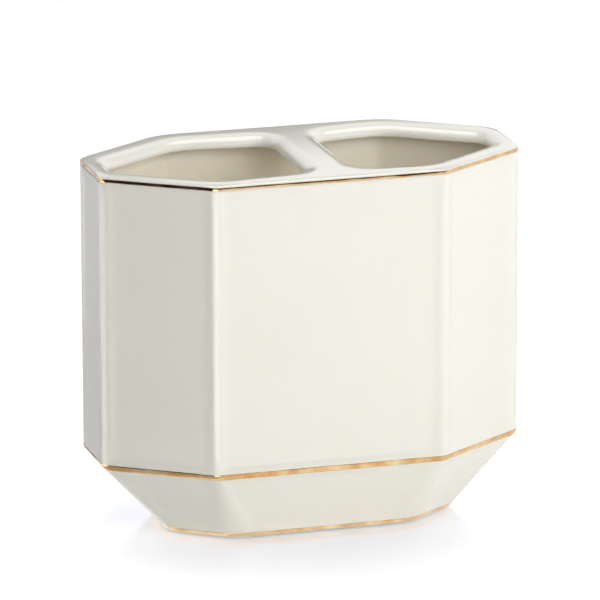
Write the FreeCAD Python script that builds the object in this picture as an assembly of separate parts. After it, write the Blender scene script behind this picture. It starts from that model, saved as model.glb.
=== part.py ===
import FreeCAD, Part
import math
import os

# A slip-cast porcelain toothbrush holder: an eight-sided vessel that slopes in to a small foot,
# closed at the top by a thick frame with two mouths and a bridge between them.
# Three lustre lines ring the rim, the waist and the foot, and four soft pads lift the foot.
# Millimetres. X runs along the length, the front faces -Y and Z is up.
# The origin is the middle of the ground under the holder.

V = FreeCAD.Vector

# Overall
length = 127.0
depth = 64.0
height = 109.2

# Eight-sided plan: what each corner takes off the long side and off the short side
corner_cut_x = 28.9
corner_cut_y = 20.1

# Sloping foot
waist_height = 22.0
foot_length = 86.8
foot_depth = 45.4
foot_corner_cut_x = 16.5

# Facets sunk between soft beads that run along every corner
bead_radius = 3.6
bead_blend_radius = 10.0
facet_sink = 0.3
edge_sink = 0.05
bead_rise = 2.2

# Cast wall and floor
wall = 4.0
floor_thickness = 4.5
cavity_corner_radius = 5.0
cavity_floor_radius = 3.0

# Underside
foot_ring_width = 6.0
base_recess = 1.5
recess_corner_radius = 4.0

# Rim frame: a crowned flange on the wall and a collar that drops inside it
flange_edge_height = 1.15
crown_height = 0.55
crown_width = 1.4
crown_front_radius = 28.0
crown_end_radius = 13.0
crown_steps = 5
collar_gap = 0.1
collar_straight = 0.2
mouth_edge_radius = 2.7
collar_lower_radius = 0.5

# The two mouths, which narrow towards the bridge between them
mouth_inset_front = 8.9
mouth_inset_corner = 9.0
mouth_inset_end = 5.9
mouth_taper = 2.3
mouth_front_radius = 12.0
mouth_end_radius = 6.0
mouth_least_end = 4.0
bridge_width = 13.6
bridge_offset = 3.5
bridge_flare_radius = 6.5

# The straight stretch that every side keeps between the arcs at its two ends
least_straight = 0.8

# Lustre lines, laid flush into the glaze
lustre_depth = 0.35
waist_line_width = 1.9
foot_line_width = 1.3
foot_line_lift = 0.25

# Soft pads
pad_radius = 5.0
pad_proud = 0.4
pad_edge_radius = 0.3
pad_margin = 1.5

# One overrun for every cutting solid, and how near its height an edge or a face is picked
overrun = 5.0
pick_gap = 0.02

# Heights that follow
foot_z = pad_proud
foot_line_low = foot_z + foot_line_lift
foot_line_high = foot_line_low + foot_line_width
waist_line_low = waist_height - waist_line_width / 2
waist_line_high = waist_height + waist_line_width / 2
flange_thickness = flange_edge_height + crown_height
flange_edge_z = height - crown_height
seam_z = height - flange_thickness
collar_z = height - mouth_edge_radius - collar_straight - collar_lower_radius


def octagon(size_x, size_y, cut_x, cut_y, inset_front=0.0, inset_corner=0.0, inset_end=0.0):
    """Eight corner points, counter-clockwise, of an octagon with each kind of side moved inwards."""
    side_length = math.hypot(cut_x, cut_y)
    normal_x = cut_y / side_length
    normal_y = cut_x / side_length
    reach = normal_x * size_x / 2 + normal_y * (size_y / 2 - cut_y) - inset_corner
    end_x = size_x / 2 - inset_end
    front_y = size_y / 2 - inset_front
    end_y = (reach - normal_x * end_x) / normal_y
    front_x = (reach - normal_y * front_y) / normal_x
    return [
        (-front_x, -front_y),
        (front_x, -front_y),
        (end_x, -end_y),
        (end_x, end_y),
        (front_x, front_y),
        (-front_x, front_y),
        (-end_x, end_y),
        (-end_x, -end_y),
    ]


def turned(direction, angle):
    """A plan direction turned counter-clockwise."""
    x, y = direction
    return (x * math.cos(angle) - y * math.sin(angle), x * math.sin(angle) + y * math.cos(angle))


def stepped(point, direction, distance):
    """A plan point moved along a direction."""
    return (point[0] + direction[0] * distance, point[1] + direction[1] * distance)


def corner_frame(points, index):
    """Outward directions of the sides before and after a corner, and half the turn between them."""
    before = points[index - 1]
    corner = points[index]
    after = points[(index + 1) % len(points)]
    span_in = math.dist(before, corner)
    span_out = math.dist(corner, after)
    side_in = ((corner[1] - before[1]) / span_in, (before[0] - corner[0]) / span_in)
    side_out = ((after[1] - corner[1]) / span_out, (corner[0] - after[0]) / span_out)
    cosine = side_in[0] * side_out[0] + side_in[1] * side_out[1]
    return side_in, side_out, math.acos(cosine) / 2


def fitting_radii(points, wanted, kept):
    """Corner radii as wanted, or less where a side would not keep its straight stretch between two arcs."""
    radii = []
    for index, radius in enumerate(wanted):
        half_turn = corner_frame(points, index)[2]
        before = math.dist(points[index - 1], points[index])
        after = math.dist(points[index], points[(index + 1) % len(points)])
        room = (min(before, after) - kept) / 2
        radii.append(min(radius, room / math.tan(half_turn)))
    return radii


def at_height(point, z):
    """A plan point as a space point."""
    return V(point[0], point[1], z)


def arc_edge(first, middle, last, z):
    """A level arc through three plan points."""
    return Part.Arc(at_height(first, z), at_height(middle, z), at_height(last, z)).toShape()


def line_edge(first, last, z):
    """A level line between two plan points."""
    return Part.makeLine(at_height(first, z), at_height(last, z))


def rounded_outline(points, radii, z):
    """A closed outline with its own tangent arc at each corner."""
    tangents = []
    for index, radius in enumerate(radii):
        side_in, side_out, half_turn = corner_frame(points, index)
        middle_way = turned(side_in, half_turn)
        centre = stepped(points[index], middle_way, -radius / math.cos(half_turn))
        tangents.append((
            stepped(centre, side_in, radius),
            stepped(centre, middle_way, radius),
            stepped(centre, side_out, radius),
        ))
    edges = []
    for index, (first, middle, last) in enumerate(tangents):
        edges.append(line_edge(tangents[index - 1][2], first, z))
        edges.append(arc_edge(first, middle, last, z))
    return Part.Wire(edges)


def even_outline(points, radius, z):
    """A closed outline with the same arc at every corner."""
    return rounded_outline(points, [radius] * len(points), z)


def flank_lean(crest_radius, sink):
    """The turn of a bead's flank between its round crest and the sunk side."""
    return math.acos(1 - sink / (crest_radius + bead_blend_radius))


def flank_reach(crest_radius, sink):
    """How far a bead's flank reaches along the side beyond its round crest."""
    return (crest_radius + bead_blend_radius) * math.sin(flank_lean(crest_radius, sink))


def beaded_outline(points, sink, z, radii=None):
    """A closed outline whose sides sink between round beads that stand at the corners."""
    corners = []
    for index, corner in enumerate(points):
        side_in, side_out, half_turn = corner_frame(points, index)
        crest_radius = radii[index] if radii else bead_radius
        swing_radius = crest_radius + bead_blend_radius
        lean = flank_lean(crest_radius, sink)
        middle_way = turned(side_in, half_turn)
        centre = stepped(corner, middle_way, -crest_radius / math.cos(half_turn))
        rise_way = turned(side_in, -lean)
        fall_way = turned(side_out, lean)
        rise_centre = stepped(centre, rise_way, swing_radius)
        fall_centre = stepped(centre, fall_way, swing_radius)
        corners.append((
            stepped(rise_centre, side_in, -bead_blend_radius),
            stepped(rise_centre, turned(side_in, -lean / 2), -bead_blend_radius),
            stepped(centre, rise_way, crest_radius),
            stepped(centre, middle_way, crest_radius),
            stepped(centre, fall_way, crest_radius),
            stepped(fall_centre, turned(side_out, lean / 2), -bead_blend_radius),
            stepped(fall_centre, side_out, -bead_blend_radius),
        ))
    edges = []
    for index, (foot_in, flank_in, rise, crest, fall, flank_out, foot_out) in enumerate(corners):
        edges.append(line_edge(corners[index - 1][6], foot_in, z))
        edges.append(arc_edge(foot_in, flank_in, rise, z))
        edges.append(arc_edge(rise, crest, fall, z))
        edges.append(arc_edge(fall, flank_out, foot_out, z))
    return Part.Wire(edges)


def body_points(inset=0.0):
    """The plan of the upright body."""
    return octagon(length, depth, corner_cut_x, corner_cut_y, inset, inset, inset)


def foot_points(inset=0.0):
    """The plan of the foot, whose corner sides run parallel to the body's."""
    cut_y = foot_corner_cut_x * corner_cut_y / corner_cut_x
    return octagon(foot_length, foot_depth, foot_corner_cut_x, cut_y, inset, inset, inset)


def slope_points(z, inset=0.0):
    """The plan at a height on the slope between the foot and the waist."""
    share = (z - foot_z) / (waist_height - foot_z)
    pairs = zip(foot_points(inset), body_points(inset))
    return [(a[0] + share * (b[0] - a[0]), a[1] + share * (b[1] - a[1])) for a, b in pairs]


def stacked(outlines):
    """A solid whose skin runs straight from each outline to the next."""
    return Part.makeLoft(outlines, True, True)


def vessel_skin():
    """The vessel's outside as a full solid, foot to seam."""
    slope_low = foot_line_high + bead_rise
    slope_high = waist_line_low - bead_rise
    return stacked([
        beaded_outline(foot_points(), edge_sink, foot_z),
        beaded_outline(slope_points(foot_line_high), edge_sink, foot_line_high),
        beaded_outline(slope_points(slope_low), facet_sink, slope_low),
        beaded_outline(slope_points(slope_high), facet_sink, slope_high),
        beaded_outline(slope_points(waist_line_low), edge_sink, waist_line_low),
        beaded_outline(body_points(), edge_sink, waist_height),
        beaded_outline(body_points(), edge_sink, waist_line_high),
        beaded_outline(body_points(), facet_sink, waist_line_high + bead_rise),
        beaded_outline(body_points(), facet_sink, seam_z - bead_rise),
        beaded_outline(body_points(), edge_sink, seam_z),
    ])


def slope_inset(run):
    """The level distance through a wall that leans by a run over the slope's height."""
    slope_height = waist_height - foot_z
    return wall * math.hypot(run, slope_height) / slope_height


def cavity():
    """The room inside the vessel, which keeps the wall's thickness all the way down."""
    end_run = (length - foot_length) / 2
    front_run = (depth - foot_depth) / 2
    side = math.hypot(corner_cut_x, corner_cut_y)
    foot_cut_y = foot_corner_cut_x * corner_cut_y / corner_cut_x
    corner_run = (corner_cut_y * end_run + corner_cut_x * (front_run - corner_cut_y + foot_cut_y)) / side
    floor_z = foot_z + floor_thickness
    share = (floor_z - foot_z) / (waist_height - foot_z)
    floor_plan = octagon(
        foot_length + 2 * share * end_run,
        foot_depth + 2 * share * front_run,
        foot_corner_cut_x + share * (corner_cut_x - foot_corner_cut_x),
        foot_cut_y + share * (corner_cut_y - foot_cut_y),
        slope_inset(front_run),
        slope_inset(corner_run),
        slope_inset(end_run),
    )
    room = stacked([
        even_outline(floor_plan, cavity_corner_radius, floor_z),
        even_outline(body_points(wall), cavity_corner_radius, waist_height),
        even_outline(body_points(wall), cavity_corner_radius, seam_z + overrun),
    ])
    floor_edges = [edge for edge in room.Edges if edge.BoundBox.ZMax < floor_z + pick_gap]
    return room.makeFillet(cavity_floor_radius, floor_edges)


def underside_recess():
    """The shallow recess that leaves a foot ring to stand on."""
    outline = even_outline(foot_points(foot_ring_width), recess_corner_radius, foot_z - overrun)
    return Part.Face(outline).extrude(V(0, 0, overrun + base_recess))


def line_band(levels):
    """A lustre band through outlines given as height and plan function, sunk into the glaze."""
    outside = stacked([beaded_outline(plan(0.0), edge_sink, z) for z, plan in levels])
    inside = stacked([beaded_outline(plan(lustre_depth), edge_sink, z) for z, plan in levels])
    return outside.cut(inside)


def waist_line():
    """The lustre band that folds round the waist's edge."""
    return line_band([
        (waist_line_low, lambda inset: slope_points(waist_line_low, inset)),
        (waist_height, body_points),
        (waist_line_high, body_points),
    ])


def foot_line():
    """The lustre band at the bottom of the slope."""
    return line_band([
        (foot_line_low, lambda inset: slope_points(foot_line_low, inset)),
        (foot_line_high, lambda inset: slope_points(foot_line_high, inset)),
    ])


def rim_line():
    """The lustre band on the flange's upright edge, down to the seam that it hides."""
    return line_band([(seam_z, body_points), (flange_edge_z, body_points)])


def crown_outline(turn):
    """The flange's outline where its crown has turned that far from upright to level."""
    share = math.sin(turn)
    points = body_points(crown_width * (1 - math.cos(turn)))
    kept = least_straight + 2 * flank_reach(max(crown_front_radius, crown_end_radius), edge_sink)
    soft = fitting_radii(points, ([crown_front_radius] * 2 + [crown_end_radius] * 2) * 2, kept)
    radii = [bead_radius + share * (radius - bead_radius) for radius in soft]
    return beaded_outline(points, edge_sink, flange_edge_z + crown_height * share, radii)


def crowned_flange():
    """The flange on top of the wall: an upright edge, then a low crown with ever softer corners."""
    quarter = math.pi / 2
    turns = [quarter * step / crown_steps for step in range(crown_steps + 1)]
    return stacked([beaded_outline(body_points(), edge_sink, seam_z)] + [crown_outline(turn) for turn in turns])


def collar():
    """The collar that drops inside the wall, up into the flange."""
    outline = even_outline(body_points(wall + collar_gap), cavity_corner_radius, collar_z)
    return Part.Face(outline).extrude(V(0, 0, seam_z + flange_thickness / 2 - collar_z))


def inset_plan(end_inset):
    """The vessel's plan moved in by the mouths' insets at the front and the corner sides."""
    return octagon(
        length, depth, corner_cut_x, corner_cut_y,
        mouth_inset_front, mouth_inset_corner, end_inset,
    )


def mouth_plan():
    """The plan that both mouths are cut from, moved further in at the ends where they would grow too short."""
    half_end = -inset_plan(mouth_inset_end)[2][1]
    shortfall = max(0.0, mouth_least_end / 2 - half_end)
    return inset_plan(mouth_inset_end + shortfall * corner_cut_x / corner_cut_y)


def mouth(side):
    """A cutting solid for the mouth on one side of the bridge: -1 is the left one and 1 the right."""
    plan = mouth_plan()
    front_x, front_y = plan[1][0], -plan[1][1]
    end_x, end_y = plan[2][0], -plan[2][1]
    bridge_x = bridge_offset + side * bridge_width / 2
    bridge_y = front_y - mouth_taper
    points = [
        (bridge_x, -side * bridge_y),
        (side * front_x, -side * front_y),
        (side * end_x, -side * end_y),
        (side * end_x, side * end_y),
        (side * front_x, side * front_y),
        (bridge_x, side * bridge_y),
    ]
    half = [bridge_flare_radius, mouth_front_radius, mouth_end_radius]
    radii = fitting_radii(points, half + half[::-1], least_straight)
    outline = rounded_outline(points, radii, collar_z - overrun)
    return Part.Face(outline).extrude(V(0, 0, height - collar_z + 2 * overrun))


def mouthed_slab():
    """A slab as thick as the frame and wider, with both mouths cut and all their edges rounded."""
    outline = even_outline(body_points(-overrun), cavity_corner_radius, collar_z)
    slab = Part.Face(outline).extrude(V(0, 0, height - collar_z)).cut(mouth(-1)).cut(mouth(1))
    slab = slab.makeFillet(mouth_edge_radius, mouth_edges(slab, height))
    return slab.makeFillet(collar_lower_radius, mouth_edges(slab, collar_z))


def rim_frame(line):
    """The frame: crowned flange and collar in one piece, with two round-edged mouths and the bridge."""
    blank = crowned_flange().fuse(collar())
    return mouthed_slab().common(blank).cut(line)


def mouth_edges(slab, z):
    """The slab's edges round both mouths at one height."""
    faces = [face for face in slab.Faces if abs(face.CenterOfMass.z - z) < pick_gap]
    edges = []
    for face in faces:
        for wire in face.Wires:
            if not wire.isSame(face.OuterWire):
                edges.extend(wire.Edges)
    return edges


def pad(place_x, place_y):
    """One soft pad, stuck to the roof of the recess and proud of the foot ring."""
    body = Part.makeCylinder(pad_radius, pad_proud + base_recess, V(place_x, place_y, 0))
    ground_edges = [edge for edge in body.Edges if edge.BoundBox.ZMax < pick_gap]
    return body.makeFillet(pad_edge_radius, ground_edges)


def pads():
    """The four pads, tucked into the corners of the recess."""
    plan = foot_points(foot_ring_width)
    side = math.hypot(corner_cut_x, corner_cut_y)
    normal_x = corner_cut_y / side
    normal_y = corner_cut_x / side
    reach = normal_x * plan[2][0] + normal_y * plan[3][1] - pad_radius - pad_margin
    place_y = plan[4][1] - pad_radius - pad_margin
    place_x = (reach - normal_y * place_y) / normal_x
    return {
        "pad_front_left": pad(-place_x, -place_y),
        "pad_front_right": pad(place_x, -place_y),
        "pad_back_left": pad(-place_x, place_y),
        "pad_back_right": pad(place_x, place_y),
    }


def main():
    """Builds every piece and writes one file each."""
    gold_waist = waist_line()
    gold_foot = foot_line()
    gold_rim = rim_line()
    vessel = vessel_skin().cut(cavity()).cut(underside_recess()).cut(gold_waist).cut(gold_foot)
    nodes = {
        "vessel_body": vessel,
        "rim_frame": rim_frame(gold_rim),
        "gold_rim_line": gold_rim,
        "gold_waist_line": gold_waist,
        "gold_foot_line": gold_foot,
    }
    nodes.update(pads())
    os.makedirs("parts", exist_ok=True)
    for name, shape in nodes.items():
        solids = shape.Solids
        print(name, len(solids), "solid", round(shape.Volume, 1), "mm3", shape.isValid())
        shape.exportStep("parts/" + name + ".step")


main()
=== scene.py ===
import logging
import math
from collections.abc import Callable
from dataclasses import astuple, dataclass, field
from enum import Enum
from itertools import cycle

import bmesh
import bpy
from mathutils import Matrix, Vector, noise


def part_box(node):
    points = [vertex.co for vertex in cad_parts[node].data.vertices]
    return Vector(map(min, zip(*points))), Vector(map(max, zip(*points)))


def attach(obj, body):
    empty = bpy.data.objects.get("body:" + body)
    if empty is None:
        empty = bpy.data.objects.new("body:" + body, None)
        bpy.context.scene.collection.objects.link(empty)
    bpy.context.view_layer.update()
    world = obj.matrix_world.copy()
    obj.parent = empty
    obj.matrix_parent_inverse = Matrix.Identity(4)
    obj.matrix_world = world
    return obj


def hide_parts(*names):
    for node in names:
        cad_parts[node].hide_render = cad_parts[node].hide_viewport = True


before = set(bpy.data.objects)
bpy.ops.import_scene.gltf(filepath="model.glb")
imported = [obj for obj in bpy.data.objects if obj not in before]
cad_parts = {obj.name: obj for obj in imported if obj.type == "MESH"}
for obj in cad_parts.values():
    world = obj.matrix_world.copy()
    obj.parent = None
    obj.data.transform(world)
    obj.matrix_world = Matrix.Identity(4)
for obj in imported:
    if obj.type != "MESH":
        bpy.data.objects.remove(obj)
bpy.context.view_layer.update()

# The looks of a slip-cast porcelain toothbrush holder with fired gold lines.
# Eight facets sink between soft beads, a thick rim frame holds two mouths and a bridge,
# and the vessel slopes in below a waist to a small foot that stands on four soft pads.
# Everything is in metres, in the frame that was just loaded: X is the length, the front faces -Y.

BODY = "root"
MM = 0.001
QUARTER = math.pi / 2
# How far the gold lines stand above the glaze.
LUSTRE_STAND = 0.08 * MM
# How many ever finer layers a pattern has.
PLAIN, MIXED, RICH = 1.0, 2.0, 3.0
# A Mix node's colour sockets, which share their names with those for its other kinds of value.
COLOUR_A, COLOUR_B, MIXED_COLOUR = 6, 7, 2
# What the camera and the lamps face.
TARGET = Vector((0.0, 0.0, 54.5 * MM))

log = logging.getLogger("toothbrush_holder")

Ring = list[Vector]
Loop = list[bmesh.types.BMVert]
Piece = bpy.types.Object
Material = bpy.types.Material
Tree = bpy.types.NodeTree
Node = bpy.types.Node
Socket = bpy.types.NodeSocket


class Slot(Enum):
    """Names for the finishes of the holder's pieces."""

    PORCELAIN = "glazed_porcelain"
    LUSTRE = "gold_lustre"
    RUBBER = "pad_rubber"


class Side(Enum):
    """The two sides of the bridge."""

    LEFT = -1
    RIGHT = 1


def smooth(share: float) -> float:
    """An even ease from 0 to 1."""
    share = min(1.0, max(0.0, share))
    return share * share * (3 - 2 * share)


def span(first: float, last: float, steps: int) -> list[float]:
    """Evenly spaced values from the first to just before the last."""
    return [first + (last - first) * k / steps for k in range(steps)]


def graded(marks: list[tuple[float, int]]) -> list[float]:
    """Values from mark to mark without the last, each mark with its count of steps to the next."""
    return [z for (low, steps), (high, _) in zip(marks, marks[1:]) for z in span(low, high, steps)]


def rounding(radius: float, steps: int, closed: bool = False) -> list[tuple[float, float]]:
    """For each step round a quarter circle, how far it has left one side and is from the other."""
    turns = span(0.0, QUARTER, steps) + ([QUARTER] if closed else [])
    return [(radius * (1 - math.cos(turn)), radius * (1 - math.sin(turn))) for turn in turns]


def turned(way: Vector, angle: float) -> Vector:
    """A plan direction turned counter-clockwise."""
    cosine, sine = math.cos(angle), math.sin(angle)
    return Vector((way.x * cosine - way.y * sine, way.x * sine + way.y * cosine))


def blended(first: Ring, last: Ring, share: float) -> Ring:
    """Points part of the way from one list to another."""
    return [a.lerp(b, share) for a, b in zip(first, last)]


@dataclass(frozen=True)
class Plan:
    """An eight-sided plan: its size, and what each corner takes off the long and short sides."""

    length: float
    depth: float
    cut_x: float
    cut_y: float

    def towards(self, other: "Plan", share: float) -> "Plan":
        """The plan part of the way to another."""
        return Plan(*[a + share * (b - a) for a, b in zip(astuple(self), astuple(other))])

    def inset(self, by: float) -> Ring:
        """The corner points with every side moved inwards by the same."""
        return self.corners(by, by, by)

    def corners(self, front: float = 0.0, corner: float = 0.0, end: float = 0.0) -> Ring:
        """Finds the corner points with each kind of side moved inwards.

        Args:
            front: how far the front and back sides move in.
            corner: how far the four corner sides move in.
            end: how far the two end sides move in.

        Returns:
            Eight points, counter-clockwise from the front side's left end.
        """
        out = Vector((self.cut_y, self.cut_x)).normalized()
        reach = out.x * self.length / 2 + out.y * (self.depth / 2 - self.cut_y) - corner
        end_x = self.length / 2 - end
        front_y = self.depth / 2 - front
        end_y = (reach - out.x * end_x) / out.y
        front_x = (reach - out.y * front_y) / out.x
        half = [Vector(point) for point in (
            (-front_x, -front_y), (front_x, -front_y), (end_x, -end_y), (end_x, end_y))]
        return half + [-point for point in half]


@dataclass(frozen=True)
class Corner:
    """A corner of an outline: its place, how its two sides face and half the turn between them."""

    place: Vector
    side_in: Vector
    side_out: Vector
    half_turn: float

    def centre(self, radius: float) -> Vector:
        """The centre of an arc of that radius that touches both sides."""
        reach = radius / math.cos(self.half_turn)
        return self.place - turned(self.side_in, self.half_turn) * reach


def corners_of(points: Ring) -> list[Corner]:
    """Describes each corner of a closed outline.

    Args:
        points: its corner points, counter-clockwise.

    Returns:
        One corner for each point.
    """
    found = []
    for index, place in enumerate(points):
        along_in = (place - points[index - 1]).normalized()
        along_out = (points[(index + 1) % len(points)] - place).normalized()
        side_in = Vector((along_in.y, -along_in.x))
        side_out = Vector((along_out.y, -along_out.x))
        found.append(Corner(place, side_in, side_out, math.acos(side_in.dot(side_out)) / 2))
    return found


@dataclass(frozen=True)
class Bend:
    """An arc of an outline. It faces that way at its start. A hollow arc's radius is negative."""

    centre: Vector
    facing: Vector
    turn: float
    radius: float
    steps: int

    def points(self, outset: float) -> Ring:
        """The arc's points, moved outwards."""
        return [
            self.centre + turned(self.facing, self.turn * k / self.steps) * (self.radius + outset)
            for k in range(self.steps + 1)
        ]


@dataclass(frozen=True)
class Outline:
    """A closed outline: bends at its corners, joined by straight sides."""

    bends: list[list[Bend]]
    side_steps: int = 24

    def ring(self, z: float, outset: float = 0.0) -> Ring:
        """Samples the outline at a height.

        Args:
            z: the height.
            outset: how far the outline is moved outwards.

        Returns:
            Space points, the same number at every height and outset.
        """
        runs = []
        for bends in self.bends:
            run = bends[0].points(outset)
            for bend in bends[1:]:
                run += bend.points(outset)[1:]
            runs.append(run)
        flat = []
        for index, run in enumerate(runs):
            start = runs[index - 1][-1]
            shares = span(0.0, 1.0, self.side_steps)[1:]
            flat += [start.lerp(run[0], share) for share in shares] + run
        return [Vector((point.x, point.y, z)) for point in flat]


@dataclass(frozen=True)
class Bead:
    """The soft bead that stands along every corner between two sunk facets."""

    radius: float = 3.6 * MM
    blend_radius: float = 10.0 * MM
    flank_steps: int = 4
    crest_steps: int = 10

    @property
    def steps(self) -> int:
        """All the steps across one corner."""
        return 2 * self.flank_steps + self.crest_steps

    def outline(self, points: Ring, sink: float, radii: list[float] | None = None) -> Outline:
        """Rounds an outline's corners into beads.

        Args:
            points: the outline's corner points.
            sink: how far the sides lie below the beads.
            radii: the crests' radii in turn, where they aren't the bead's own.

        Returns:
            The outline with three bends at each corner.
        """
        bends = []
        for corner, radius in zip(corners_of(points), cycle(radii or [self.radius])):
            swing = radius + self.blend_radius
            lean = math.acos(1 - sink / swing)
            centre = corner.centre(radius)
            rise = turned(corner.side_in, -lean)
            fall = turned(corner.side_out, lean)
            crest_turn = 2 * corner.half_turn + 2 * lean
            flank = (-lean, -self.blend_radius, self.flank_steps)
            bends.append([
                Bend(centre + rise * swing, corner.side_in, *flank),
                Bend(centre, rise, crest_turn, radius, self.crest_steps),
                Bend(centre + fall * swing, fall, *flank),
            ])
        return Outline(bends)

    def softened(self, front: float, end: float, share: float) -> list[float]:
        """The crests' radii, part of the way to softer ones on the front side and on the end."""
        softer = (front, front, end, end)
        return [self.radius + share * (radius - self.radius) for radius in softer]

    def plain_outline(self, points: Ring, radii: list[float]) -> Outline:
        """Rounds an outline's corners with one arc each, in as many steps as a bead has."""
        return Outline([
            [Bend(corner.centre(radius), corner.side_in, 2 * corner.half_turn, radius, self.steps)]
            for corner, radius in zip(corners_of(points), cycle(radii))
        ])


def placed(name: str, mesh: bmesh.types.BMesh, finishes: list[Material]) -> Piece:
    """Turns a worked mesh into an object in the scene.

    Args:
        name: the object's name.
        mesh: the worked mesh, which is used up.
        finishes: its materials, in the order of their indices.

    Returns:
        The new object.
    """
    data = bpy.data.meshes.new(name)
    mesh.to_mesh(data)
    mesh.free()
    for finish in finishes:
        data.materials.append(finish)
    made = bpy.data.objects.new(name, data)
    bpy.context.scene.collection.objects.link(made)
    return made


def stage_sheet(name: str, width: float, depth: float, finish: Material) -> Piece:
    """Lays out a flat sheet of the studio, face up round the origin.

    Args:
        name: the sheet's name.
        width: its size along X.
        depth: its size along Y.
        finish: its material.

    Returns:
        The sheet.
    """
    mesh = bmesh.new()
    bmesh.ops.create_grid(mesh, x_segments=1, y_segments=1, size=0.5)
    bmesh.ops.scale(mesh, vec=(width, depth, 1.0), verts=mesh.verts)
    sheet = placed(name, mesh, [finish])
    return sheet


class Skin:
    """A mesh that grows ring by ring and becomes one piece of the holder."""

    def __init__(self) -> None:
        """Starts with no points."""
        self.mesh = bmesh.new()

    def band(self, low: Loop, high: Loop, finish: int = 0) -> None:
        """Joins two rings with a band of faces.

        Args:
            low: one ring.
            high: the other.
            finish: the index of the finish that the faces take.
        """
        for index, vert in enumerate(low):
            face = self.mesh.faces.new((low[index - 1], vert, high[index], high[index - 1]))
            face.material_index = finish

    def stack(self, rings: list[Ring], finish: int = 0) -> list[Loop]:
        """Adds rings and joins each to the next.

        Args:
            rings: the rings in order, all with the same number of points.
            finish: the index of the finish that the faces take.

        Returns:
            The rings as mesh points.
        """
        made = [[self.mesh.verts.new(point) for point in points] for points in rings]
        for low, high in zip(made, made[1:]):
            self.band(low, high, finish)
        return made

    def cap(self, ring: Loop, finish: int = 0) -> None:
        """Closes a flat ring with one face."""
        self.mesh.faces.new(ring).material_index = finish

    def sheet(self, *rings: Loop) -> None:
        """Fills a flat space.

        Args:
            rings: the space's outer ring and the rings of its holes.
        """
        edges = []
        for ring in rings:
            edges += [self.mesh.edges.get((ring[k - 1], vert)) for k, vert in enumerate(ring)]
        bmesh.ops.triangle_fill(self.mesh, edges=edges, use_beauty=True, use_dissolve=False)

    def piece(self, name: str, node: str, slot: Slot, finishes: list[Material]) -> None:
        """Turns the mesh into a smooth-shaded piece that stands for its frame node.

        Args:
            name: the piece's name.
            node: the frame node that it replaces.
            slot: not used.
            finishes: its materials, in the order of their indices.
        """
        bmesh.ops.recalc_face_normals(self.mesh, faces=self.mesh.faces)
        for face in self.mesh.faces:
            face.smooth = True
        piece = placed(name, self.mesh, finishes)
        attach(piece, BODY)
        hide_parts(node)
        log.info("%s: %d faces, stands for %s", name, len(piece.data.polygons), node)


def linear(hex_code: str) -> tuple[float, ...]:
    """Turns an sRGB hex colour into linear red, green and blue, and a full alpha."""
    shares = [int(hex_code[k:k + 2], 16) / 255 for k in (1, 3, 5)]
    return (*[s / 12.92 if s <= 0.04045 else ((s + 0.055) / 1.055) ** 2.4 for s in shares], 1.0)


def per_metre(size_mm: float) -> float:
    """The texture scale at which one feature is that many millimetres wide."""
    return 1 / (size_mm * MM)


def add_node(
    tree: Tree, kind: str, inputs: dict[str | int, object] | None = None, **settings: object
) -> Node:
    """Adds a node with its settings, values and links.

    Args:
        tree: the material's or world's node tree.
        kind: the node's type, without the word ShaderNode in front.
        inputs: for each input, by name or place, a value or the output that feeds it, where a
            node stands for its first output.
        settings: the node's own settings.

    Returns:
        The new node.
    """
    node = tree.nodes.new("ShaderNode" + kind)
    for name, value in settings.items():
        setattr(node, name, value)
    for key, value in (inputs or {}).items():
        feed = value.outputs[0] if isinstance(value, Node) else value
        if isinstance(feed, Socket):
            tree.links.new(feed, node.inputs[key])
        else:
            node.inputs[key].default_value = feed
    return node


def fresh_material(name: str) -> tuple[Material, Tree, Socket]:
    """Makes a material with hardly a node in its tree.

    Args:
        name: the finish's name.

    Returns:
        The material, its tree and the object coordinates.
    """
    material = bpy.data.materials.new(name)
    material.use_nodes = True
    tree = material.node_tree
    tree.nodes.clear()
    return material, tree, add_node(tree, "TexCoord").outputs["Object"]


def surfaced(material: Material, shader: Node) -> Material:
    """Gives a material that shader as its surface."""
    add_node(material.node_tree, "OutputMaterial", {"Surface": shader})
    return material


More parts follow.
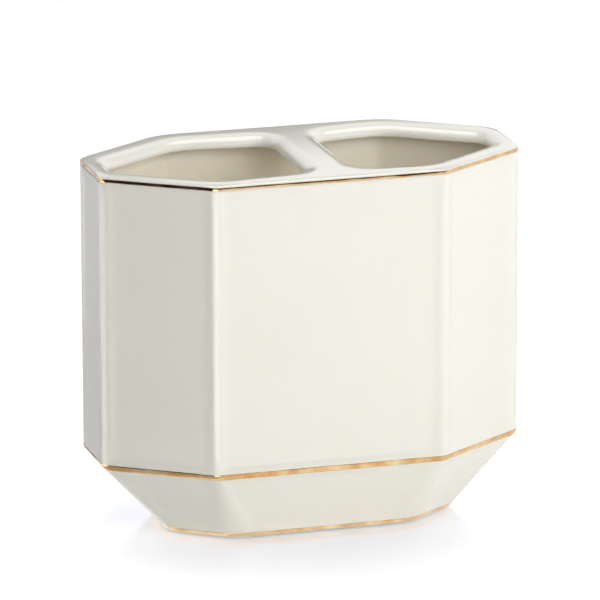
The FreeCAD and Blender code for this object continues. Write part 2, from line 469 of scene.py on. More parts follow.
@dataclass(frozen=True)
class GlazedPorcelain:
    """Slip-cast porcelain under a clear ivory glaze, fired glossy.

    The eye gets a warm white body with soft light inside it, and a wet-looking skin
    whose reflections wander a little because the glaze ran before it set.
    """

    name: str = "slip_cast_porcelain_ivory_glaze"
    thin_glaze: str = "#F2F0E7"
    pooled_glaze: str = "#EEEBDF"
    speck: str = "#CDBE9F"
    speck_share: float = 0.3
    roughness_low: float = 0.05
    roughness_high: float = 0.11
    ior: float = 1.5
    body_glow: float = 0.15
    glow_reach: float = 3.0 * MM
    glow_colours: tuple[float, float, float] = (1.0, 0.85, 0.65)
    pool_width_mm: float = 34.0
    # Most iron specks are finer than a pixel. These are drawn as wide as one, so that they show.
    speck_spacing_mm: float = 11.0
    speck_width_mm: float = 0.32
    run_width_mm: float = 17.0
    run_height_mm: float = 0.035
    peel_width_mm: float = 1.6
    peel_height_mm: float = 0.0022

    def material(self) -> Material:
        """Builds the glaze, coloured by how thick it pooled, with a few pale iron specks in it.

        Returns:
            The material.
        """
        material, tree, place = fresh_material(self.name)
        runs = add_node(tree, "TexNoise", {
            "Vector": place, "Scale": per_metre(self.run_width_mm), "Detail": PLAIN})
        peel = add_node(tree, "TexNoise", {
            "Vector": place, "Scale": per_metre(self.peel_width_mm), "Detail": MIXED})
        run_bump = add_node(tree, "Bump", {
            "Distance": self.run_height_mm * MM, "Height": runs})
        skin_bump = add_node(tree, "Bump", {
            "Distance": self.peel_height_mm * MM, "Height": peel, "Normal": run_bump})
        gloss = add_node(tree, "MapRange", {
            "Value": runs, "To Min": self.roughness_low, "To Max": self.roughness_high})
        pools = add_node(tree, "TexNoise", {
            "Vector": place, "Scale": per_metre(self.pool_width_mm), "Detail": RICH})
        glaze = add_node(tree, "Mix", {
            "Factor": pools, COLOUR_A: linear(self.thin_glaze),
            COLOUR_B: linear(self.pooled_glaze)}, data_type="RGBA").outputs[MIXED_COLOUR]
        cells = add_node(tree, "TexVoronoi", {
            "Vector": place, "Scale": per_metre(self.speck_spacing_mm)})
        reach = self.speck_width_mm / self.speck_spacing_mm
        specks = add_node(tree, "MapRange", {
            "Value": cells, "From Min": reach / 2, "From Max": reach / 4,
            "To Max": self.speck_share})
        colour = add_node(tree, "Mix", {
            "Factor": specks, COLOUR_A: glaze, COLOUR_B: linear(self.speck)},
            data_type="RGBA").outputs[MIXED_COLOUR]
        return surfaced(material, add_node(tree, "BsdfPrincipled", {
            "Base Color": colour, "Roughness": gloss, "IOR": self.ior,
            "Subsurface Weight": self.body_glow, "Subsurface Scale": self.glow_reach,
            "Subsurface Radius": self.glow_colours, "Normal": skin_bump}))


@dataclass(frozen=True)
class LinerGlazeWithPaintedBounce(GlazedPorcelain):
    """The liner glaze that was swirled round the inside and poured out.

    The eye gets a paler, warmer, slightly pinker cream than outside. The inside is glazed too, but
    that paler, warmer tint is painted bounce light: it stands in for the warm light that bounces
    round the room inside.
    """

    name: str = "slip_cast_porcelain_liner_glaze_painted_bounce"
    # Painted bounce light: these creams are paler and warmer than the outside's to stand in for
    # warm light bouncing round inside.
    thin_glaze: str = "#FCF4E8"
    pooled_glaze: str = "#FAEFDF"
    body_glow: float = 0.6
    glow_reach: float = 6.0 * MM


@dataclass(frozen=True)
class BiscuitPorcelain:
    """The same porcelain wiped bare of glaze where it stood on the kiln shelf.

    The eye gets a dry, fine-grained white ring under the foot.
    """

    body: str = "#E9E5D8"
    roughness: float = 0.8
    # Real biscuit has a finer grain than a pixel. It is drawn coarser, so that it shows.
    grain_mm: float = 0.25
    grain_height_mm: float = 0.02

    def material(self) -> Material:
        """Builds the bare body.

        Returns:
            The material.
        """
        material, tree, place = fresh_material("bare_biscuit_porcelain")
        grain = add_node(tree, "TexNoise", {
            "Vector": place, "Scale": per_metre(self.grain_mm), "Detail": RICH})
        bump = add_node(tree, "Bump", {
            "Distance": self.grain_height_mm * MM, "Height": grain})
        return surfaced(material, add_node(tree, "BsdfPrincipled", {
            "Base Color": linear(self.body), "Roughness": self.roughness, "Normal": bump}))


@dataclass(frozen=True)
class GoldLustre:
    """Liquid bright gold, painted on the glaze by hand and fired.

    The eye gets a thin mirror that is orange where the coat is thick,
    paler where the brush left it thin, and never quite even in gloss.
    """

    thick_coat: str = "#C8995F"
    thin_coat: str = "#E6CBA0"
    thick_share: float = 0.3
    thin_share: float = 0.7
    roughness_low: float = 0.08
    roughness_high: float = 0.2
    # Real brush marks are finer than a pixel. They are drawn coarser, so that they show.
    brush_width_mm: float = 0.5
    coat_width_mm: float = 6.0
    brush_height_mm: float = 0.006

    def material(self) -> Material:
        """Builds the lustre.

        Returns:
            The material.
        """
        material, tree, place = fresh_material("fired_liquid_bright_gold")
        coat = add_node(tree, "TexNoise", {
            "Vector": place, "Scale": per_metre(self.coat_width_mm), "Detail": RICH})
        brush = add_node(tree, "TexNoise", {
            "Vector": place, "Scale": per_metre(self.brush_width_mm), "Detail": MIXED})
        spread = {"Value": coat, "From Min": self.thick_share, "From Max": self.thin_share}
        colour = add_node(tree, "Mix", {
            "Factor": add_node(tree, "MapRange", spread), COLOUR_A: linear(self.thick_coat),
            COLOUR_B: linear(self.thin_coat)}, data_type="RGBA").outputs[MIXED_COLOUR]
        gloss = add_node(tree, "MapRange", spread | {
            "To Min": self.roughness_low, "To Max": self.roughness_high})
        bump = add_node(tree, "Bump", {
            "Distance": self.brush_height_mm * MM, "Height": brush})
        return surfaced(material, add_node(tree, "BsdfPrincipled", {
            "Base Color": colour, "Metallic": 1.0, "Roughness": gloss, "Normal": bump}))


@dataclass(frozen=True)
class PadRubber:
    """Clear-cast silicone rubber, die-cut into round pads.

    The eye gets a milky, slightly waxy grey-white with a soft sheen.
    """

    body: str = "#DCDAD4"
    bloom: str = "#CFCCC4"
    roughness: float = 0.45
    ior: float = 1.41
    bloom_width_mm: float = 2.5
    # Real rubber has a finer grain than a pixel. It is drawn coarser, so that it shows.
    grain_mm: float = 0.2
    grain_height_mm: float = 0.004

    def material(self) -> Material:
        """Builds the rubber.

        Returns:
            The material.
        """
        material, tree, place = fresh_material("die_cut_silicone_rubber")
        bloom = add_node(tree, "TexNoise", {
            "Vector": place, "Scale": per_metre(self.bloom_width_mm), "Detail": MIXED})
        grain = add_node(tree, "TexNoise", {
            "Vector": place, "Scale": per_metre(self.grain_mm), "Detail": PLAIN})
        colour = add_node(tree, "Mix", {
            "Factor": bloom, COLOUR_A: linear(self.body),
            COLOUR_B: linear(self.bloom)}, data_type="RGBA").outputs[MIXED_COLOUR]
        bump = add_node(tree, "Bump", {
            "Distance": self.grain_height_mm * MM, "Height": grain})
        return surfaced(material, add_node(tree, "BsdfPrincipled", {
            "Base Color": colour, "Roughness": self.roughness, "IOR": self.ior,
            "Normal": bump}))


@dataclass(frozen=True)
class StudioAcrylic:
    """A polished white acrylic table, lit until it reads as plain white.

    The eye gets white all round, a soft shadow and a faint mirror image under the foot,
    which fades with the distance from the holder.
    """

    face: str = "#F6F6F6"
    sheen: str = "#E6EAFF"
    polish: float = 0.2
    mirror_share: float = 0.55
    mirror_fade: float = 0.35
    mirror_reach_x: float = 78.0 * MM
    mirror_reach_y: float = 100.0 * MM
    white_share: float = 0.5
    white_strength: float = 1.5
    mirrored_strength: float = 1.15

    def material(self) -> Material:
        """Builds the face: lit acrylic to the camera and plain white in the holder's reflections.

        Returns:
            The material.
        """
        material, tree, place = fresh_material("polished_white_acrylic")
        table = add_node(tree, "BsdfDiffuse", {"Color": linear(self.face)})
        white = add_node(tree, "Emission", {"Strength": self.white_strength})
        mirror = add_node(tree, "BsdfGlossy", {
            "Color": linear(self.sheen), "Roughness": self.polish})
        lit = add_node(tree, "MixShader", {0: self.white_share, 1: table, 2: white})
        reach = add_node(tree, "VectorMath", {
            0: place, 1: (self.mirror_reach_x, self.mirror_reach_y, 1.0)}, operation="DIVIDE")
        away = add_node(tree, "VectorMath", {0: reach}, operation="LENGTH").outputs["Value"]
        share = add_node(tree, "MapRange", {
            "Value": away, "From Min": self.mirror_fade, "To Min": self.mirror_share,
            "To Max": 0.0})
        polished = add_node(tree, "MixShader", {0: share, 1: lit, 2: mirror})
        glare = add_node(tree, "Emission", {"Strength": self.mirrored_strength})
        rays = add_node(tree, "LightPath").outputs
        unseen = add_node(tree, "MixShader", {0: rays["Is Glossy Ray"], 1: table, 2: glare})
        return surfaced(material, add_node(tree, "MixShader", {
            0: rays["Is Camera Ray"], 1: unseen, 2: polished}))


@dataclass
class Vessel:
    """The cast vessel: eight upright facets, a waist, a sloping foot and the room inside."""

    body_plan: Plan
    foot_plan: Plan
    bead: Bead
    foot_z: float
    waist_z: float
    seam_z: float
    foot_line: tuple[float, float]
    waist_line: tuple[float, float]
    facet_sink: float = 0.45 * MM
    slope_sink: float = 0.3 * MM
    edge_sink: float = 0.05 * MM
    low_rise: float = 2.2 * MM
    rim_rise: float = 3.6 * MM
    waist_softness: float = 0.8 * MM
    foot_edge_radius: float = 0.5 * MM
    foot_front_radius: float = 14.0 * MM
    foot_end_radius: float = 8.0 * MM
    wall: float = 4.0 * MM
    floor_thickness: float = 4.5 * MM
    floor_support: float = 0.6 * MM
    room_corner_radius: float = 5.0 * MM
    room_floor_radius: float = 3.0 * MM
    foot_ring_width: float = 6.0 * MM
    base_recess: float = 1.5 * MM
    recess_corner_radius: float = 4.0 * MM
    recess_edge_radius: float = 0.4 * MM
    recess_support: float = 0.8 * MM
    round_steps: int = 6
    edge_steps: int = 6
    rise_steps: int = 8
    rim_steps: int = 10
    line_steps: int = 12
    wall_steps: int = 12
    facet_steps: int = 24

    def slope_share(self, z: float) -> float:
        """How far the plan at a height has gone from the body's to the foot's.

        Args:
            z: the height.

        Returns:
            0 on the upright body and 1 at the foot, eased at the waist.
        """
        fall = self.waist_z - self.foot_z
        below = self.waist_z - z
        if below <= -self.waist_softness:
            return 0.0
        if below >= self.waist_softness:
            return below / fall
        return (below + self.waist_softness) ** 2 / (4 * self.waist_softness * fall)

    def sink(self, z: float) -> float:
        """How far the facets lie below the beads at a height.

        Args:
            z: the height.

        Returns:
            The sink, which fades out at the lustre lines and under the rim.
        """
        if z < self.waist_z:
            deepest = self.slope_sink
            rise = smooth((z - self.foot_line[1]) / self.low_rise)
            fall = smooth((self.waist_line[0] - z) / self.low_rise)
        else:
            deepest = self.facet_sink
            rise = smooth((z - self.waist_line[1]) / self.low_rise)
            fall = smooth((self.seam_z - z) / self.rim_rise)
        return self.edge_sink + (deepest - self.edge_sink) * min(rise, fall)

    def skin_ring(self, z: float, outset: float = 0.0) -> Ring:
        """The outside at a height. Its corners grow softer towards the foot.

        Args:
            z: the height.
            outset: how far it is moved outwards.

        Returns:
            The ring.
        """
        share = self.slope_share(z)
        points = blended(self.body_plan.corners(), self.foot_plan.corners(), share)
        radii = self.bead.softened(self.foot_front_radius, self.foot_end_radius, share)
        return self.bead.outline(points, self.sink(z), radii).ring(z, outset)

    def outside(self) -> list[Ring]:
        """The glaze's outside, from the foot ring round its edge and up to the seam.

        Returns:
            Its rings, closest together where it bends.
        """
        edge = [
            self.skin_ring(self.foot_z + left, -LUSTRE_STAND - lacking)
            for left, lacking in rounding(self.foot_edge_radius, self.round_steps)]
        heights = graded([
            (self.foot_z + self.foot_edge_radius, self.edge_steps),
            (self.foot_line[1], self.rise_steps),
            (self.foot_line[1] + self.low_rise, self.rise_steps),
            (self.waist_line[0] - self.low_rise, self.rise_steps),
            (self.waist_line[0], self.line_steps),
            (self.waist_line[1], self.rise_steps),
            (self.waist_line[1] + self.low_rise, self.facet_steps),
            (self.seam_z - self.rim_rise, self.rim_steps),
            (self.seam_z, 1)])
        return edge + [self.skin_ring(z, -LUSTRE_STAND) for z in heights + [self.seam_z]]

    def recess(self) -> list[Ring]:
        """The recess of the underside.

        Returns:
            Its rings, from its roof out to the foot ring.
        """
        outline = self.bead.plain_outline(
            self.foot_plan.inset(self.foot_ring_width), [self.recess_corner_radius])
        radius, support = self.recess_edge_radius, self.recess_support
        roof_z = self.foot_z + self.base_recess
        arc = rounding(radius, self.round_steps)
        return (
            [outline.ring(roof_z, -2 * support), outline.ring(roof_z, -support)]
            + [outline.ring(roof_z - left, -lacking) for left, lacking in arc]
            + [outline.ring(self.foot_z + lacking, left) for left, lacking in arc]
            + [outline.ring(self.foot_z, radius), outline.ring(self.foot_z, support)])

    def room_points(self, z: float) -> Ring:
        """The room's corner points at a height, one wall inside the outside.

        Args:
            z: the height.

        Returns:
            The eight points.
        """
        fall = self.waist_z - self.foot_z
        share = max(0.0, (self.waist_z - z) / fall)
        outside = self.body_plan.towards(self.foot_plan, share)
        if share == 0.0:
            return outside.inset(self.wall)
        front_run = (self.body_plan.depth - self.foot_plan.depth) / 2
        end_run = (self.body_plan.length - self.foot_plan.length) / 2
        runs = (front_run, (front_run + end_run) / 2, end_run)
        return outside.corners(*[self.wall * math.hypot(run, fall) / fall for run in runs])

    def inside(self) -> list[Ring]:
        """The room inside.

        Returns:
            Its rings, from the seam down to the middle of the floor, eased at the waist.
        """
        floor_z = self.foot_z + self.floor_thickness
        radius, radii = self.room_floor_radius, [self.room_corner_radius]
        low, high = self.waist_z - self.wall, self.waist_z + self.wall
        rings = []
        for z in graded([
                (self.seam_z, self.wall_steps), (high, self.wall_steps), (low, self.rise_steps),
                (floor_z + radius, 1)]):
            points = self.room_points(z)
            if low < z < high:
                eased = (1 - (z - low) / (2 * self.wall)) ** 2
                points = blended(self.room_points(self.waist_z), self.room_points(low), eased)
            rings.append(self.bead.plain_outline(points, radii).ring(z))
        outline = self.bead.plain_outline(self.room_points(floor_z + radius), radii)
        for left, lacking in rounding(radius, self.round_steps, closed=True):
            rings.append(outline.ring(floor_z + lacking, -left))
        return rings + [outline.ring(floor_z, -radius - self.floor_support)]

    def build(self, glaze: Material, biscuit: Material, liner: Material) -> None:
        """Builds the vessel as one closed skin.

        Args:
            glaze: the finish outside.
            biscuit: the finish of the ring that it stands on.
            liner: the finish inside.
        """
        finishes = [glaze, biscuit, liner]
        glazed, bare, lined = range(len(finishes))
        skin = Skin()
        recess = skin.stack(self.recess(), glazed)
        skin.cap(recess[0], glazed)
        outside = skin.stack(self.outside(), glazed)
        skin.band(recess[-1], outside[0], bare)
        inside = skin.stack(self.inside(), lined)
        skin.band(outside[-1], inside[0], glazed)
        skin.cap(inside[-1], lined)
        skin.piece("porcelain_vessel", "vessel_body", Slot.PORCELAIN, finishes)


@dataclass
class RimFrame:
    """The frame on the vessel's mouth: a crowned flange, a collar, two mouths and a bridge."""

    plan: Plan
    bead: Bead
    seam_z: float
    edge_z: float
    top_z: float
    collar_z: float
    edge_sink: float = 0.05 * MM
    crown_width: float = 1.4 * MM
    crown_front_radius: float = 28.0 * MM
    crown_end_radius: float = 13.0 * MM
    collar_inset: float = 4.1 * MM
    collar_corner_radius: float = 5.0 * MM
    collar_draft: float = 0.03 * MM
    inset_front: float = 8.9 * MM
    inset_corner: float = 9.0 * MM
    inset_end: float = 5.9 * MM
    mouth_taper: float = 2.3 * MM
    mouth_front_radius: float = 12.0 * MM
    mouth_end_radius: float = 6.0 * MM
    reach_front: float = 5.6 * MM
    reach_corner: float = 5.4 * MM
    reach_end: float = 3.8 * MM
    reach_bridge: float = 4.6 * MM
    mouth_edge_drop: float = 2.7 * MM
    lower_edge_radius: float = 0.5 * MM
    bridge_width: float = 13.6 * MM
    bridge_offset: float = 3.5 * MM
    flare_radius: float = 6.5 * MM
    support: float = 0.3 * MM
    round_steps: int = 14

    def upright_ring(self, z: float, outset: float = 0.0) -> Ring:
        """The flange's upright edge at a height, moved outwards."""
        return self.bead.outline(self.plan.corners(), self.edge_sink).ring(z, outset)

    def crown_ring(self, turn: float) -> Ring:
        """The crown where it has turned that far. Its corners grow softer towards the top.

        Args:
            turn: the angle, from 0 on the upright edge to a quarter turn on the top.

        Returns:
            The ring.
        """
        share = math.sin(turn)
        points = self.plan.inset(self.crown_width * (1 - math.cos(turn)))
        radii = self.bead.softened(self.crown_front_radius, self.crown_end_radius, share)
        z = self.edge_z + (self.top_z - self.edge_z) * share
        return self.bead.outline(points, self.edge_sink, radii).ring(z, -LUSTRE_STAND)

    def mouth_outline(self, side: Side, opening: float = 0.0) -> Outline:
        """The outline of one mouth.

        Args:
            side: the side of the bridge.
            opening: how far it has opened, from 0 at its narrowest to 1 on the frame's top.

        Returns:
            Six rounded corners, the two beside the bridge with the larger flare.
        """
        plan = self.plan.corners(
            self.inset_front - opening * self.reach_front,
            self.inset_corner - opening * self.reach_corner,
            self.inset_end - opening * self.reach_end)
        front, end = plan[1], plan[2]
        half_bridge = self.bridge_width / 2 - opening * self.reach_bridge
        half = [
            Vector((self.bridge_offset + side.value * half_bridge, front.y + self.mouth_taper)),
            Vector((side.value * front.x, front.y)),
            Vector((side.value * end.x, end.y)),
        ]
        points = half + [Vector((point.x, -point.y)) for point in reversed(half)]
        if side is Side.LEFT:
            points.reverse()
        radii = [
            self.flare_radius + opening * self.reach_bridge,
            self.mouth_front_radius + opening * self.reach_corner,
            self.mouth_end_radius + opening * self.reach_end,
        ]
        return self.bead.plain_outline(points, radii + radii[::-1])

    def mouth_rings(self, side: Side) -> list[Ring]:
        """The wall of one mouth.

        Args:
            side: the side of the bridge.

        Returns:
            Its rings, from the top over its soft edge and down to the collar's lower edge.
        """
        rings = [self.mouth_outline(side, 1.0).ring(self.top_z, self.support)]
        for left, lacking in rounding(1.0, self.round_steps):
            soft = self.mouth_outline(side, lacking)
            rings.append(soft.ring(self.top_z - self.mouth_edge_drop * left))
        outline, lower = self.mouth_outline(side), self.lower_edge_radius
        for left, lacking in rounding(lower, self.round_steps):
            rings.append(outline.ring(self.collar_z + lacking, left))
        return rings + [outline.ring(self.collar_z, lower + out) for out in (0.0, self.support)]

    def outer_rings(self) -> list[Ring]:
        """The outer skin.

        Returns:
            Its rings, from the collar's underside out round the flange and up to the top.
        """
        collar = self.bead.plain_outline(
            self.plan.inset(self.collar_inset), [self.collar_corner_radius])
        return [
            collar.ring(self.collar_z, -2 * self.support),
            collar.ring(self.collar_z, -self.support),
            collar.ring(self.collar_z + self.support),
            collar.ring(self.seam_z - self.support),
            collar.ring(self.seam_z, self.collar_draft),
            self.upright_ring(self.seam_z, -2 * self.support),
            self.upright_ring(self.seam_z, -LUSTRE_STAND),
        ] + [self.crown_ring(turn) for turn in span(0.0, QUARTER, self.round_steps) + [QUARTER]]

    def build(self, glaze: Material) -> None:
        """Builds the frame as one closed skin.

        Args:
            glaze: its finish.
        """
        skin = Skin()
        outer = skin.stack(self.outer_rings())
        mouths = [skin.stack(self.mouth_rings(side)) for side in Side]
        skin.sheet(outer[-1], *[rings[0] for rings in mouths])
        skin.sheet(outer[0], *[rings[-1] for rings in mouths])
        skin.piece("porcelain_rim_frame", "rim_frame", Slot.PORCELAIN, [glaze])


@dataclass
class LustreLine:
    """One painted gold line: a rounded coat whose crest wanders, never quite even in width."""

    name: str
    node: str
    surface: Callable[[float, float], Ring]
    heights: tuple[float, float]
    brush_seed: float = 0.0
    high_edge_seed: float = 7.0
    depth: float = 0.3 * MM
    wander: float = 0.09 * MM
    wander_length: float = 9.0 * MM
    coat: float = 0.07 * MM
    crest_wander: float = 0.8
    crest_length: float = 4.0 * MM
    crest_least: float = 0.12
    levels: int = 12
    rows: int = 12
    back_rows: tuple[float, float] = (0.9, 0.1)

    def stray(self, point: Vector, length: float, seed: float = 0.0) -> float:
        """How far the brush strays at a place, in waves of that length."""
        return noise.noise(point / length + Vector((0.0, 0.0, seed + self.brush_seed)))

    def sunk(self, across: float, crest: float) -> float:
        """How deep the coat's face lies at a place across the line, as a share of its depth."""
        run = crest if across < crest else 1 - crest
        return self.coat / self.depth * ((across - crest) / run) ** 2

    def at(self, rings: list[Ring], index: int, share: float) -> Vector:
        """Finds a place part of the way up through a list of rings.

        Args:
            rings: the rings.
            index: the place's number in each ring.
            share: how far up it lies, from 0 to 1.

        Returns:
            The place.
        """
        place = min(max(share, 0.0), 1.0) * self.levels
        low = min(int(place), self.levels - 1)
        return rings[low][index].lerp(rings[low + 1][index], place - low)

    def build(self, lustre: Material) -> None:
        """Builds the line as a closed band let into the surface.

        Args:
            lustre: its finish.
        """
        heights = span(*self.heights, self.levels) + [self.heights[1]]
        outer = [self.surface(z, 0.0) for z in heights]
        inner = [self.surface(z, -self.depth) for z in heights]
        slack = self.wander / sum((low[0] - high[0]).length for low, high in zip(outer, outer[1:]))
        columns = []
        for k, point in enumerate(outer[0]):
            low = slack * (1 + self.stray(point, self.wander_length))
            high = 1 - slack * (1 + self.stray(point, self.wander_length, self.high_edge_seed))
            reach = high - low
            crest = 0.5 + self.crest_wander * self.stray(point, self.crest_length)
            crest = min(max(crest, self.crest_least), 1 - self.crest_least)
            column = []
            for across in span(0.0, 1.0, self.rows) + [1.0]:
                share = low + across * reach
                face, back = self.at(outer, k, share), self.at(inner, k, share)
                column.append(face.lerp(back, self.sunk(across, crest)))
            column += [self.at(inner, k, low + across * reach) for across in self.back_rows]
            columns.append(column)
        skin = Skin()
        made = skin.stack([list(ring) for ring in zip(*columns)])
        skin.band(made[-1], made[0])
        skin.piece(self.name, self.node, Slot.LUSTRE, [lustre])


@dataclass
class FootPads:
    """The four soft pads under the foot."""

    nodes: tuple[str, ...] = (
        "pad_front_left", "pad_front_right", "pad_back_left", "pad_back_right")
    ground_edge_radius: float = 0.3 * MM
    ground_support: float = 0.6 * MM
    stuck_edge_radius: float = 0.1 * MM
    stuck_support: float = 0.4 * MM
    turn_steps: int = 72
    round_steps: int = 6

    def build(self, rubber: Material) -> None:
        """Builds each pad as a round-edged disc where its frame node is.

        Args:
            rubber: their finish.
        """
        for node in self.nodes:
            low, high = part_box(node)
            middle, radius = (low + high) / 2, (high.x - low.x) / 2
            ground = rounding(self.ground_edge_radius, self.round_steps, closed=True)
            stuck = rounding(self.stuck_edge_radius, self.round_steps, closed=True)
            profile = (
                [(radius - self.ground_support, low.z)]
                + [(radius - lacking, low.z + left) for left, lacking in ground]
                + [(radius - left, high.z - lacking) for left, lacking in stuck]
                + [(radius - self.stuck_support, high.z)])
            skin = Skin()
            made = skin.stack([self.circle(middle, reach, z) for reach, z in profile])
            skin.cap(made[0])
            skin.cap(made[-1])
            skin.piece("rubber_" + node, node, Slot.RUBBER, [rubber])

    def circle(self, middle: Vector, radius: float, z: float) -> Ring:
        """A level circle round a pad's middle."""
        return [
            Vector((middle.x + radius * math.cos(a), middle.y + radius * math.sin(a), z))
            for a in span(0.0, 4 * QUARTER, self.turn_steps)]


def sight_line(azimuth: float, elevation: float) -> Vector:
    """The way from the holder, in degrees to the right of its front and above level."""
    a, e = math.radians(azimuth), math.radians(elevation)
    return Vector((math.sin(a) * math.cos(e), -math.cos(a) * math.cos(e), math.sin(e)))


@dataclass
class AreaLamp:
    """A soft box: where it stands, how large it is and how strong it is."""

    name: str
    azimuth: float
    elevation: float
    distance: float
    width: float
    height: float
    power: float

    def build(self) -> None:
        """Hangs the lamp, facing its target."""
        data = bpy.data.lights.new(self.name, "AREA")
        data.shape = "RECTANGLE"
        data.size = self.width
        data.size_y = self.height
        data.energy = self.power
        lamp = bpy.data.objects.new(self.name, data)
        way = sight_line(self.azimuth, self.elevation)
        lamp.location = TARGET + way * self.distance
        lamp.rotation_euler = way.to_track_quat("Z", "Y").to_euler()
        bpy.context.scene.collection.objects.link(lamp)


@dataclass
class Card:
    """A glowing sheet beside the table that only glaze and lustre mirror, never seen by the camera
    or felt as light. What it puts into their reflections is painted: dark sheets paint dark
    reflections, bright ones paint highlights, and a lavender-grey one on the table paints the
    holder's shadow.

    Its grey is what its middle has. It changes across and along it, as on a sprayed gradient card.
    A flat card lies on the table, and only the face towards the holder is there at all.
    """

    name: str
    azimuth: float
    distance: float
    width: float
    height: float
    base: float = 0.0
    aside: float = 0.0
    flat: bool = False
    colour: str = "#FFFFFF"
    light: float = 1.0
    grey: float = 0.02
    across: float = 0.0
    along: float = 0.0

    def build(self) -> None:
        """Stands the card up, or lays it down, facing the holder."""
        card = stage_sheet(self.name, self.width, self.height, self.painted_reflection())
        away, up = self.distance, self.base + self.height / 2
        tilt = Matrix.Rotation(-QUARTER, 4, "X")
        if self.flat:
            away, up = self.distance + self.height / 2, self.base
            tilt = Matrix.Identity(4)
        card.matrix_world = (
            Matrix.Rotation(math.radians(self.azimuth), 4, "Z")
            @ Matrix.Translation((self.aside, -away, up)) @ tilt)
        card.visible_camera = False
        card.visible_diffuse = False
        card.visible_shadow = False

    def painted_reflection(self) -> Material:
        """Builds the sheet's glow, the painted reflection, as bright as a lit card would be.

        Returns:
            Its material.
        """
        material, tree, place = fresh_material(self.name + "_paper")
        sides = add_node(tree, "SeparateXYZ", {0: place}).outputs
        across = add_node(tree, "Math", {
            0: sides["X"], 1: self.across, 2: self.grey}, operation="MULTIPLY_ADD")
        tone = add_node(tree, "Math", {
            0: sides["Y"], 1: self.along, 2: across}, operation="MULTIPLY_ADD", use_clamp=True)
        light = add_node(tree, "Math", {0: tone, 1: self.light}, operation="MULTIPLY")
        painted_reflection = add_node(tree, "Emission", {"Color": linear(self.colour), "Strength": light})
        return surfaced(material, add_node(tree, "MixShader", {
            0: add_node(tree, "NewGeometry").outputs["Backfacing"], 1: painted_reflection,
            2: add_node(tree, "BsdfTransparent")}))


@dataclass
class WhiteRoom:
    """The room round the table: hardly any light of its own, and what the glaze mirrors of it."""

    colour: str = "#FFFFFF"
    ambient: float = 0.03
    dark_low: float = 0.4
    dark_high: float = 1.0
    dark_front: float = 0.05
    horizon: float = 1.2
    grey_low: float = 0.4
    grey_high: float = 0.5
    grey_back: float = 0.35
    dark_side: float = -0.5
    light_side: float = -0.2

    def build(self) -> None:
        """Fills the room: dark in front, bright at the horizon behind, and grey overhead."""
        world = bpy.data.worlds.new("white_room")
        world.use_nodes = True
        tree = world.node_tree
        tree.nodes.clear()
        way = add_node(tree, "SeparateXYZ", {
            0: add_node(tree, "TexCoord").outputs["Generated"]}).outputs
        front = add_node(tree, "MapRange", {
            "Value": way["Z"], "From Min": self.dark_low, "From Max": self.dark_high,
            "To Min": self.dark_front, "To Max": self.grey_back})
        back = add_node(tree, "MapRange", {
            "Value": way["Z"], "From Min": self.grey_low, "From Max": self.grey_high,
            "To Min": self.horizon, "To Max": self.grey_back})
        behind = add_node(tree, "MapRange", {
            "Value": way["Y"], "From Min": self.dark_side, "From Max": self.light_side,
            "To Max": back})
        room = add_node(tree, "Math", {0: front, 1: behind}, operation="MAXIMUM")
        rays = add_node(tree, "LightPath").outputs
        mirrored = add_node(tree, "Math", {
            0: rays["Is Glossy Ray"], 1: rays["Is Transmission Ray"]}, operation="MAXIMUM")
        seen = add_node(tree, "Math", {
            0: rays["Is Camera Ray"], 1: mirrored}, operation="MAXIMUM")
        strength = add_node(tree, "MapRange", {
            "Value": seen, "To Min": self.ambient, "To Max": room})
        light = add_node(tree, "Background", {"Color": linear(self.colour), "Strength": strength})
        add_node(tree, "OutputWorld", {"Surface": light})
        bpy.context.scene.world = world


@dataclass
class LongLens:
    """The camera, where the photograph was taken from, for a picture of 600 pixels square."""

    azimuth: float = -16.399
    elevation: float = 15.899
    distance: float = 1.8
    roll: float = -0.146
    focal_pixels: float = 6131.6
    image_pixels: float = 600.0
    principal_x: float = 300.02
    principal_y: float = 331.41
    sensor: float = 36.0
    near_end: float = 0.05
    far_end: float = 20.0

    def build(self) -> None:
        """Sets the camera up."""
        data = bpy.data.cameras.new("long_lens")
        data.sensor_width = self.sensor
        data.lens = self.focal_pixels / self.image_pixels * self.sensor
        middle = (self.image_pixels - 1) / 2
        data.shift_x = (middle - self.principal_x) / self.image_pixels
        data.shift_y = (self.principal_y - middle) / self.image_pixels
        data.clip_start = self.near_end
        data.clip_end = self.far_end
        back = sight_line(self.azimuth, self.elevation)
        level = Vector((0.0, 0.0, 1.0)).cross(back).normalized()
        upright = back.cross(level)
        roll = math.radians(self.roll)
        right = level * math.cos(roll) + upright * math.sin(roll)
        up = upright * math.cos(roll) - level * math.sin(roll)
        camera = bpy.data.objects.new("long_lens", data)
        camera.matrix_world = (
            Matrix.Translation(TARGET + back * self.distance)
            @ Matrix((right, up, back)).transposed().to_4x4())
        bpy.context.scene.collection.objects.link(camera)
        bpy.context.scene.camera = camera


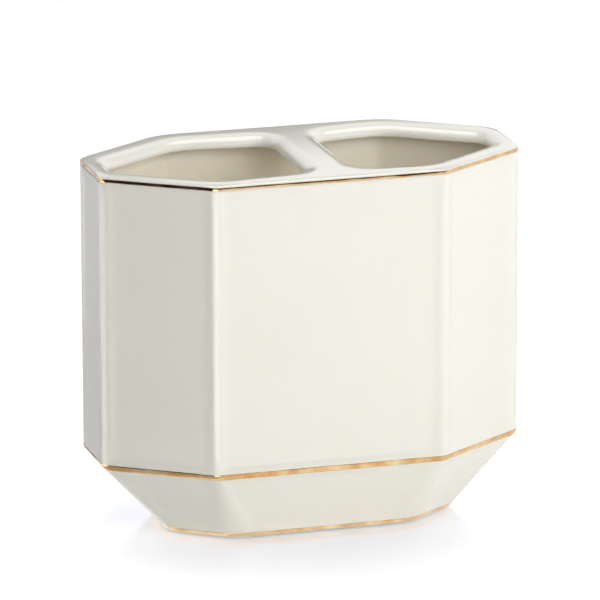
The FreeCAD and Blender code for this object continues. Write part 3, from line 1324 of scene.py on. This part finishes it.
@dataclass
class Studio:
    """The white table, the soft light and what the glaze mirrors."""

    table_width: float = 12.0
    cards: list[Card] = field(default_factory=lambda: [
        # Painted reflections: the left, front and back cards and the waist card are dark or grey
        # sheets that darken what the glaze and gold mirror.
        Card("left_card", -53.0, 0.152, 0.13, 0.12, aside=-0.012),
        Card("front_card", 16.0, 0.43, 0.5, 0.3),
        Card("back_card", 180.0, 0.07, 0.3, 0.06, base=0.1,
             light=1.3, grey=0.66, across=-10.0, along=-80.0),
        # Painted shadow: this lavender-grey sheet on the table stands for the holder's own shadow
        # there, shown only in reflections.
        Card("shade_card", 180.0, 0.05, 0.14, 0.4, base=0.0005, aside=0.12, flat=True,
             colour="#D2D4EC", light=0.75, grey=0.95, along=-1.2),
        Card("waist_card", -53.0, 0.06, 0.12, 0.1, base=0.0005, flat=True, grey=0.6),
        # Painted highlights: these bright sheets put light lines into the beads' reflections.
        Card("front_bead_card", -18.0, 0.121, 0.075, 0.09, aside=-0.023, light=4.2, grey=1.0),
        Card("left_bead_card", -88.0, 0.118, 0.06, 0.09, light=3.2, grey=1.0),
    ])
    lamps: list[AreaLamp] = field(default_factory=lambda: [
        AreaLamp("near_softbox", 60.0, 25.0, 0.55, width=0.4, height=0.4, power=0.42),
        AreaLamp("key_softbox", 18.0, 26.0, 0.8, width=0.7, height=0.5, power=4.05),
        AreaLamp("top_softbox", 150.0, 70.0, 1.3, width=0.8, height=0.8, power=7.9),
        AreaLamp("high_softbox", -30.0, 55.0, 1.3, width=0.5, height=0.5, power=1.6),
        AreaLamp("left_softbox", -120.0, 6.0, 1.3, width=0.8, height=0.26, power=5.8),
    ])

    def build(self) -> None:
        """Builds the whole studio."""
        LongLens().build()
        stage_sheet("table", self.table_width, self.table_width, StudioAcrylic().material())
        WhiteRoom().build()
        for card_or_lamp in self.cards + self.lamps:
            card_or_lamp.build()
        bpy.context.scene.view_settings.view_transform = "Standard"
        log.info("studio: %d lamps and %d cards", len(self.lamps), len(self.cards))


def build_holder() -> None:
    """Builds the holder's pieces, each sized from its frame node."""
    vessel_low, vessel_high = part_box("vessel_body")
    rim_low, rim_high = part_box("rim_frame")
    foot, waist, edge = [
        tuple(corner.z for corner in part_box(node))
        for node in ("gold_foot_line", "gold_waist_line", "gold_rim_line")]
    bead = Bead()
    body_plan = Plan(
        length=vessel_high.x - vessel_low.x, depth=vessel_high.y - vessel_low.y,
        cut_x=28.9 * MM, cut_y=20.1 * MM)
    foot_cut = 16.5 * MM
    foot_plan = Plan(
        length=86.8 * MM, depth=45.4 * MM,
        cut_x=foot_cut, cut_y=foot_cut * body_plan.cut_y / body_plan.cut_x)
    glaze = GlazedPorcelain().material()
    vessel = Vessel(
        body_plan, foot_plan, bead, foot_z=vessel_low.z, waist_z=sum(waist) / 2,
        seam_z=vessel_high.z, foot_line=foot, waist_line=waist)
    vessel.build(glaze, BiscuitPorcelain().material(), LinerGlazeWithPaintedBounce().material())
    rim = RimFrame(
        body_plan, bead, seam_z=vessel_high.z, edge_z=edge[1], top_z=rim_high.z,
        collar_z=rim_low.z)
    rim.build(glaze)
    lustre = GoldLustre().material()
    for line in (
        LustreLine("lustre_foot_line", "gold_foot_line", vessel.skin_ring, foot),
        LustreLine("lustre_waist_line", "gold_waist_line", vessel.skin_ring, waist, brush_seed=3.0),
        LustreLine("lustre_rim_line", "gold_rim_line", rim.upright_ring, edge, brush_seed=5.0),
    ):
        line.build(lustre)
    FootPads().build(PadRubber().material())


def main() -> None:
    """Builds the studio and the holder."""
    logging.basicConfig(level=logging.INFO, format="%(name)s %(message)s")
    Studio().build()
    build_holder()


if __name__ == "__main__":
    main()
